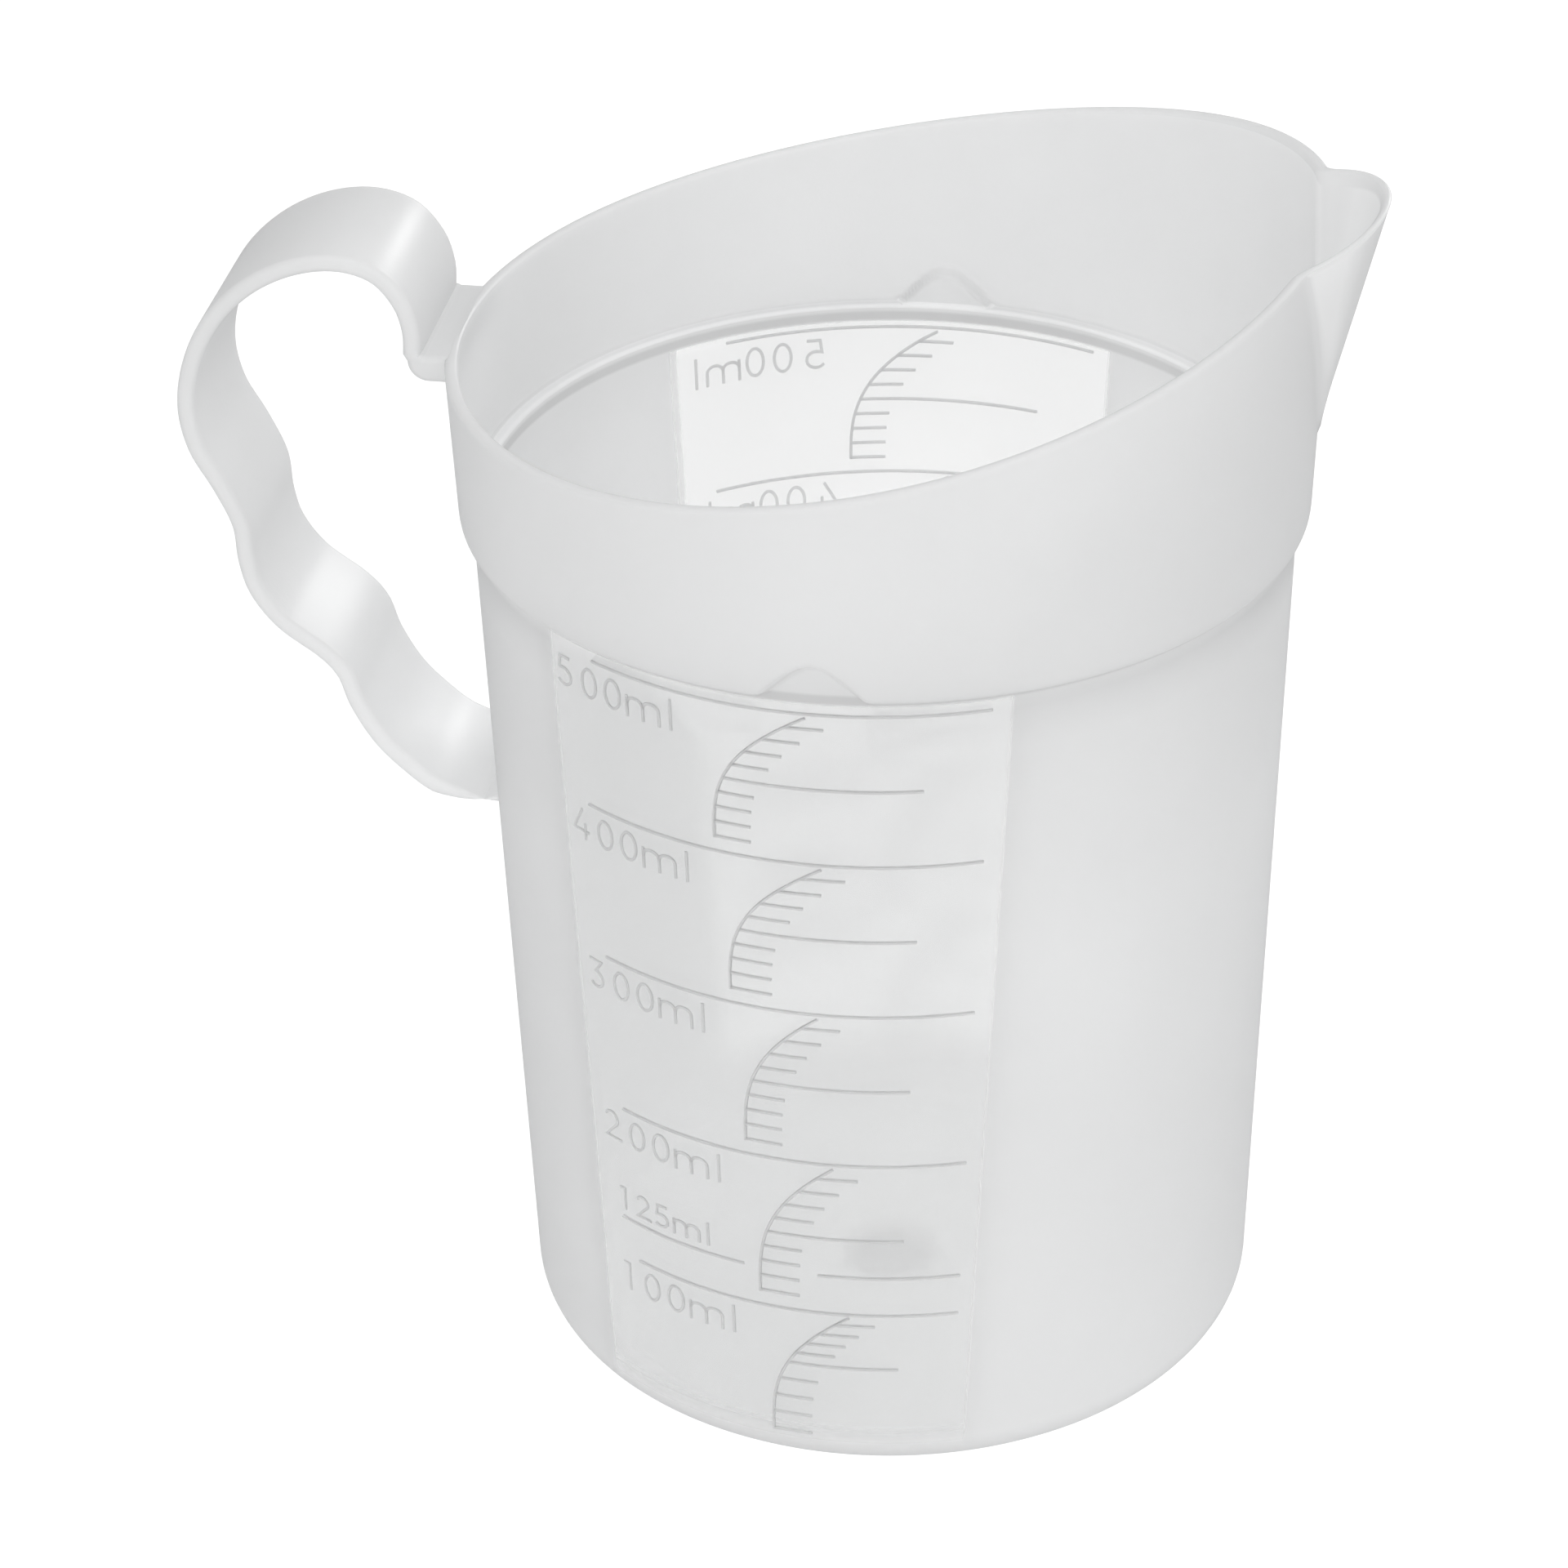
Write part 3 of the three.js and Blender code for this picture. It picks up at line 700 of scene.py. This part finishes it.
def strap_stations(cup, sizes):
    """Pairs of points in the XZ plane, under and over the strap, from the collar into the wall."""
    top = cup.rim(-cup.collar_at_step)
    collar = cup.collar(top)
    foot = cup.step - sizes.handle_drop
    line = [Vector((-(collar + sizes.handle_reach * out), foot + (top - foot) * up))
            for out, up in HANDLE_LINE]
    middle = catmull(line, HANDLE_STEPS)
    half = sizes.handle_thickness / 2
    start = -(collar + sizes.bridge_reach)
    outer_face = start - half
    under = top - sizes.bridge_depth
    bend = sizes.bridge_round
    stations = []

    # Bridge: level on top, rounded below its outer corner. A tiny creep keeps the sections apart
    # where they fan out round the inner corner.
    creep = 0.0005 * MM
    end = -collar + BRIDGE_SINK * MM
    inner_corner = Vector((start + half, top))
    for i in range(5):
        x = end + (outer_face + bend - end) * i / 4
        stations.append((Vector((x, under)), Vector((max(x, inner_corner.x), top))))
    for i in range(1, 9):
        a = math.pi + math.pi / 2 * (1 - i / 8)
        below = Vector((outer_face + bend + bend * math.cos(a), under + bend + bend * math.sin(a)))
        stations.append((below, inner_corner + Vector((0.0, creep * i))))

    # Strap: even thickness along its middle line.
    for i, point in enumerate(middle):
        ahead = middle[min(i + 1, len(middle) - 1)]
        behind = middle[max(i - 1, 0)]
        along = (ahead - behind).normalized() if i else Vector((0, 1))
        across = Vector((along.y, -along.x)) * half
        stations.append((point - across, point + across))

    # Foot: spreads into the wall.
    low, high = stations[-1]
    low_end = Vector((-FOOT_END * MM, low.y - FOOT_FALL * MM))
    high_end = Vector((-FOOT_END * MM, high.y + FOOT_RISE * MM))
    for i in range(1, 9):
        t = i / 8
        sag = Vector((0.0, -FOOT_SAG * MM)) * 4 * t * (1 - t)
        stations.append((low.lerp(low_end, t) + sag * FOOT_SAG_BELOW, high.lerp(high_end, t) + sag))
    return stations


def rounded_section(low, high, width, bend, steps=4):
    """A rounded rectangle between two points of the XZ plane and out to both sides along Y."""
    up = high - low
    thick = up.length
    up = up / thick if thick > 0 else Vector((0, 1))
    bend = min(bend, thick * 0.49)
    points = []
    corners = ((1, 1, 0), (-1, 1, 90), (-1, -1, 180), (1, -1, 270))
    for sy, st, start in corners:
        cy = sy * (width / 2 - bend)
        ct = thick / 2 + st * (thick / 2 - bend)
        for i in range(steps + 1):
            a = math.radians(start + 90 * i / steps)
            y = cy + bend * math.cos(a)
            t = ct + bend * math.sin(a)
            spot = low + up * t
            points.append((spot.x, y, spot.y))
    return points


class BEAKER_OT_handle(bpy.types.Operator):
    """Build the handle: a level bridge, a wavy strap with rounded edges and a foot on the wall"""

    bl_idname = "beaker.handle"
    bl_label = "Handle"

    def execute(self, context):
        sizes = context.scene.beaker_sizes
        bm = bmesh.new()
        stations = strap_stations(Cup(sizes), sizes)
        width = sizes.handle_width
        sections = [rounded_section(low, high, width, STRAP_ROUND * MM) for low, high in stations]
        for end in skin(bm, sections):
            bm.faces.new(end)
        material = plastic("frosted_polypropylene_handle", context.scene.beaker_colours)
        nodes = ("handle_bridge", "handle_strap", "handle_foot")
        finish_mesh("handle", bm, material, nodes, 50)
        return {"FINISHED"}


class BEAKER_OT_gate(bpy.types.Operator):
    """Build the round gate mark on the floor, a shallow lens"""

    bl_idname = "beaker.gate"
    bl_label = "Gate lens"

    def execute(self, context):
        sizes = context.scene.beaker_sizes
        low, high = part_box("gate_lens")
        radius = high[0]
        rise = high[2] - low[2]
        steps = 13
        sunk = sizes.floor - GATE_SINK * MM
        profile = [(0.0, sunk), (radius, sunk)]
        for i in range(steps):
            r = radius * (1 - i / steps)
            profile.append((r, sizes.floor + rise * (1 - (r / radius) ** 2)))
        profile.append((0.0, sizes.floor + rise))
        bm = bmesh.new()
        verts = [bm.verts.new((r, 0, z)) for r, z in profile]
        edges = [bm.edges.new(pair) for pair in zip(verts, verts[1:])]
        bmesh.ops.spin(bm, geom=verts + edges, axis=(0, 0, 1), angle=2 * math.pi, steps=96, use_merge=True)
        colours = context.scene.beaker_colours
        material = plastic("polished_polypropylene_gate", colours, polished=GATE_POLISH)
        finish_mesh("gate_lens_mark", bm, material, ("gate_lens",), 60)
        return {"FINISHED"}


# ---- Scale -----------------------------------------------------------------------------------

class WallPen:
    """Draws raised strokes on one side of the wall. A point is (metres round from the spout, height)."""

    def __init__(self, cup, side, width, height):
        self.cup = cup
        self.side = side
        self.width = width
        self.bm = bmesh.new()
        half_section = [(1.0, -MARK_SINK * MM), (0.86, height * 0.6), (0.6, height)]
        self.section = [(-share, out) for share, out in half_section] + half_section[::-1]

    def spot(self, along, z, out):
        """Where a point that stands out from the wall is in space."""
        radius = self.cup.outer(z)
        a = along / radius * self.side
        return ((radius + out) * math.cos(a), (radius + out) * math.sin(a), z)

    def along(self, degrees, z):
        return math.radians(degrees) * self.cup.outer(z)

    def stroke(self, points, closed=False):
        """Sweeps a soft-edged bar along points, mitred where they turn."""
        path = [Vector(p) for p in points]
        count = len(path)
        rings = []
        half = self.width / 2
        for i, point in enumerate(path):
            ahead = path[(i + 1) % count] if closed or i < count - 1 else point
            behind = path[i - 1] if closed or i else point
            first = (point - behind).normalized() if point != behind else None
            last = (ahead - point).normalized() if ahead != point else None
            first = first or last
            last = last or first
            turn = first + last
            turn = turn.normalized() if turn.length > 1e-6 else last
            across = Vector((-turn.y, turn.x))
            lean = max(across.dot(Vector((-last.y, last.x))), 0.5)
            ring = []
            for share, out in self.section:
                side = point + across * (half * share / lean)
                ring.append(self.spot(side.x, side.y, out))
            rings.append(ring)
        if closed:
            skin(self.bm, rings + rings[:1])
            return
        for end in skin(self.bm, rings):
            self.bm.faces.new(end)

    def level(self, z, handle_end, spout_end):
        """A level line between two azimuths in degrees."""
        steps = max(2, round((handle_end - spout_end) / 1.5))
        ends = [handle_end + (spout_end - handle_end) * i / steps for i in range(steps + 1)]
        self.stroke([(self.along(degrees, z), z) for degrees in ends])


def gained(pair, hundreds):
    return pair[0] + pair[1] * (hundreds - 1)


def mark_level(hundreds):
    low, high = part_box(f"right_line_{hundreds}_fifths")
    return (low[2] + high[2]) / 2


def quarter_level():
    low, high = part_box("right_line_quarter_spout_part")
    return (low[2] + high[2]) / 2


def tick_levels(cup, hundreds):
    """Heights of a comb's nine ticks: equal volumes apart, save in the lowest comb."""
    top = mark_level(hundreds)
    if hundreds == 1:
        low, middle, high = FIRST_COMB
        shares = [low + (middle - low) * i / 4 for i in range(5)]
        shares += [middle + (high - middle) * i / 4 for i in range(1, 5)]
        return [top * share for share in shares]
    below = mark_level(hundreds - 1)
    narrow, wide = cup.inner(below), cup.inner(top)
    levels = []
    for tick in range(1, 10):
        radius = (narrow ** 3 + (wide ** 3 - narrow ** 3) * tick / 10) ** (1 / 3)
        levels.append(below + (top - below) * (radius - narrow) / (wide - narrow))
    return levels


def draw_comb(pen, cup, hundreds):
    """An arc that rises almost to its line, with nine ticks towards the spout."""
    levels = tick_levels(cup, hundreds)
    sweep = COMB_SWEEPS[hundreds - 1] * MM
    rise = levels[8] - levels[0]
    foot = gained(COMB_FOOT, hundreds)

    def place(z, beyond=0.0):
        share = max((z - levels[0]) / rise, 0.0)
        return pen.along(foot, z) - sweep * share ** COMB_BEND - beyond

    bottom = levels[0] - pen.width / 2
    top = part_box(f"right_ticks_below_{hundreds}_fifths")[1][2] - 0.1 * MM
    heights = [bottom + (top - bottom) * i / 32 for i in range(33)]
    pen.stroke([(place(z), z) for z in heights])
    for i, z in enumerate(levels):
        end = place(z, TICK_LENGTHS[hundreds - 1] * MM)
        if i == 4:
            end = pen.along(gained(MIDDLE_TICK_END, hundreds), z)
        start = place(z)
        steps = max(2, round((start - end) / (1.2 * MM)))
        pen.stroke([(start + (end - start) * k / steps, z) for k in range(steps + 1)])


class BEAKER_OT_scale(bpy.types.Operator):
    """Build the raised scale on both sides: lines at each hundred and a quarter, and combs between"""

    bl_idname = "beaker.scale"
    bl_label = "Scale"

    def execute(self, context):
        sizes = context.scene.beaker_sizes
        cup = Cup(sizes)
        colours = context.scene.beaker_colours
        material = plastic("polished_polypropylene_scale", colours, polished=MARK_POLISH)
        for side_name, side in SIDES.items():
            pen = WallPen(cup, side, sizes.mark_width, sizes.mark_height)
            nodes = []
            for hundreds in range(1, 6):
                handle_end = FULL_LINE_HANDLE_END if hundreds == 5 else gained(LINE_HANDLE_END, hundreds)
                pen.level(mark_level(hundreds), handle_end, gained(LINE_SPOUT_END, hundreds))
                draw_comb(pen, cup, hundreds)
                nodes.append(f"{side_name}_line_{hundreds}_fifths")
                nodes.append(f"{side_name}_ticks_below_{hundreds}_fifths")
            pen.level(quarter_level(), QUARTER_LINE_HANDLE_END, QUARTER_GAP[0])
            pen.level(quarter_level(), QUARTER_GAP[1], gained(LINE_SPOUT_END, QUARTER))
            nodes += [f"{side_name}_line_quarter_handle_part", f"{side_name}_line_quarter_spout_part"]
            finish_mesh(f"scale_{side_name}", pen.bm, material, nodes, 35)
        return {"FINISHED"}


def bow(centre, size, start, end, steps=10):
    """Points of an elliptical arc, angles in degrees."""
    points = []
    for i in range(steps + 1):
        a = math.radians(start + (end - start) * i / steps)
        points.append((centre[0] + size[0] * math.cos(a), centre[1] + size[1] * math.sin(a)))
    return points


def glyph(letter):
    """Strokes of a letter as (points, closed), in mm for digits of DIGIT_GRID."""
    hump = bow((1.0, 1.6), (1.0, 0.8), 180, 0) + [(2.0, 0.0)]
    strokes = {
        "0": [(bow((1.2, 1.87), (1.0, 1.67), 0, 345, 23), True)],
        "1": [([(0.75, 3.55), (1.6, 3.55), (1.6, 0.0)], False)],
        "2": [(bow((1.1, 2.6), (0.95, 0.95), 155, -25) + [(0.15, 0.2), (2.6, 0.2)], False)],
        "3": [([(0.2, 3.55), (2.0, 3.55), (1.05, 2.2)] + bow((1.1, 1.2), (1.0, 1.0), 70, -145), False)],
        "4": [([(1.55, 3.75), (0.05, 1.0), (2.5, 1.0)], False), ([(1.85, 2.0), (1.85, 0.0)], False)],
        "5": [([(2.0, 3.55), (0.45, 3.55), (0.3, 2.1)] + bow((1.0, 1.2), (1.1, 1.0), 95, -145), False)],
        "m": [([(0.0, 2.55), (0.0, 0.0)], False), (hump, False), ([(x + 2.0, z) for x, z in hump], False)],
        "l": [([(0.0, 3.75), (0.0, 0.0)], False)],
    }
    return strokes[letter]


class BEAKER_OT_numbers(bpy.types.Operator):
    """Build the raised numbers beside the lines on both sides"""

    bl_idname = "beaker.numbers"
    bl_label = "Numbers"

    def execute(self, context):
        sizes = context.scene.beaker_sizes
        cup = Cup(sizes)
        colours = context.scene.beaker_colours
        material = plastic("polished_polypropylene_numbers", colours, polished=MARK_POLISH)
        full = sizes.digit_height / DIGIT_GRID
        below = NUMBER_BELOW_LINE * MM
        labels = []
        for hundreds in range(1, 6):
            base = mark_level(hundreds) - below - sizes.digit_height
            labels.append((f"{hundreds}00ml", base, full, hundreds, 0.0))
        labels.append(("125ml", quarter_level() + QUARTER_NUMBER_ABOVE * MM, full * QUARTER_NUMBER_SCALE,
                       QUARTER, QUARTER_NUMBER_SHIFT))
        for side_name, side in SIDES.items():
            pen = WallPen(cup, side, NUMBER_STROKE * MM, NUMBER_HEIGHT_SHARE * sizes.mark_height)
            for text, base, scale, hundreds, shift in labels:
                end = gained(NUMBER_ENDS[side], hundreds) - side * shift
                for letter, slot in zip(text, GLYPH_SLOTS):
                    for points, closed in glyph(letter):
                        path = []
                        for x, z in points:
                            level = base + z * scale
                            path.append((pen.along(end, level) + side * (slot + x) * scale, level))
                        pen.stroke(path, closed)
            finish_mesh(f"numbers_{side_name}", pen.bm, material, (), 35)
        return {"FINISHED"}


# ---- Stage -----------------------------------------------------------------------------------

def white(tree, kind, output, colour, light):
    """A surface or world of one strength to the camera and another, light, to the beaker."""
    lit = node(tree, kind, in_Color=colour)
    feed(tree, lit.inputs["Strength"], light)
    seen = node(tree, kind, in_Color=colour, in_Strength=SEEN_WHITE)
    blend = node(tree, "ShaderNodeMixShader")
    tree.links.new(node(tree, "ShaderNodeLightPath").outputs["Is Camera Ray"], blend.inputs[0])
    tree.links.new(lit.outputs[0], blend.inputs[1])
    tree.links.new(seen.outputs[0], blend.inputs[2])
    tree.links.new(blend.outputs[0], node(tree, output).inputs["Surface"])


def make_floor(scene, colour):
    bm = bmesh.new()
    bmesh.ops.create_circle(bm, cap_ends=True, segments=96, radius=FLOOR_RADIUS)
    bmesh.ops.translate(bm, verts=bm.verts, vec=(0, 0, -FLOOR_DROP))
    mesh = bpy.data.meshes.new("floor")
    bm.to_mesh(mesh)
    bm.free()
    material, tree = shader_tree("floor_white")
    white(tree, "ShaderNodeEmission", "ShaderNodeOutputMaterial", colour, FLOOR_LIGHT)
    mesh.materials.append(material)
    floor = bpy.data.objects.new("floor", mesh)
    scene.collection.objects.link(floor)


def make_surroundings(scene, colour):
    """Even surroundings, brighter overhead."""
    world = bpy.data.worlds.new("surroundings")
    world.use_nodes = True
    scene.world = world
    tree = world.node_tree
    tree.nodes.clear()
    split = node(tree, "ShaderNodeSeparateXYZ")
    tree.links.new(node(tree, "ShaderNodeTexCoord").outputs["Generated"], split.inputs[0])
    light = maths(tree, "MULTIPLY_ADD", split.outputs["Z"], UPWARD_GAIN, LEVEL_LIGHT)
    white(tree, "ShaderNodeBackground", "ShaderNodeOutputWorld", colour, light)


def make_lamps(scene):
    for name, (place, aim, size, power) in LAMPS.items():
        data = bpy.data.lights.new(name, "AREA")
        data.size = size
        data.energy = power
        lamp = bpy.data.objects.new(name, data)
        scene.collection.objects.link(lamp)
        turn = (Vector(aim) - Vector(place)).to_track_quat("-Z", "Y").to_matrix().to_4x4()
        lamp.matrix_world = Matrix.Translation(place) @ turn


def make_camera(scene):
    data = bpy.data.cameras.new("camera")
    data.sensor_width = 36
    data.lens = CAMERA_LENS
    data.clip_end = 20
    camera = bpy.data.objects.new("camera", data)
    scene.collection.objects.link(camera)
    right = Vector(CAMERA_RIGHT)
    up = Vector(CAMERA_UP)
    turn = Matrix((right, up, right.cross(up))).transposed().to_4x4()
    camera.matrix_world = Matrix.Translation(CAMERA_PLACE) @ turn
    scene.camera = camera


class BEAKER_OT_stage(bpy.types.Operator):
    """Build the floor, the surroundings, the lamps and the camera"""

    bl_idname = "beaker.stage"
    bl_label = "Stage"

    def execute(self, context):
        scene = context.scene
        colour = scene.beaker_colours.backdrop
        make_floor(scene, colour)
        make_surroundings(scene, colour)
        make_lamps(scene)
        make_camera(scene)
        scene.view_settings.view_transform = "Standard"

        # Light scatters many times inside the translucent wall.
        scene.cycles.max_bounces = 24
        scene.cycles.diffuse_bounces = 10
        scene.cycles.transmission_bounces = 24
        return {"FINISHED"}


class BEAKER_PT_panel(bpy.types.Panel):
    """Lists the beaker's operators"""

    bl_idname = "BEAKER_PT_panel"
    bl_label = "Measuring Beaker"
    bl_space_type = "VIEW_3D"
    bl_region_type = "UI"
    bl_category = "Beaker"

    def draw(self, context):
        for operator in PIECES:
            self.layout.operator(operator.bl_idname)


PIECES = (BEAKER_OT_vessel, BEAKER_OT_handle, BEAKER_OT_gate, BEAKER_OT_scale, BEAKER_OT_numbers,
          BEAKER_OT_stage)
CLASSES = (BeakerSizes, BeakerColours) + PIECES + (BEAKER_PT_panel,)


def register():
    for cls in CLASSES:
        bpy.utils.register_class(cls)
    bpy.types.Scene.beaker_sizes = PointerProperty(type=BeakerSizes)
    bpy.types.Scene.beaker_colours = PointerProperty(type=BeakerColours)


def unregister():
    del bpy.types.Scene.beaker_colours
    del bpy.types.Scene.beaker_sizes
    for cls in reversed(CLASSES):
        bpy.utils.unregister_class(cls)


def main():
    register()
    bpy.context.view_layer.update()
    bpy.ops.beaker.vessel()
    bpy.ops.beaker.handle()
    bpy.ops.beaker.gate()
    bpy.ops.beaker.scale()
    bpy.ops.beaker.numbers()
    bpy.ops.beaker.stage()


if __name__ == "__main__":
    main()
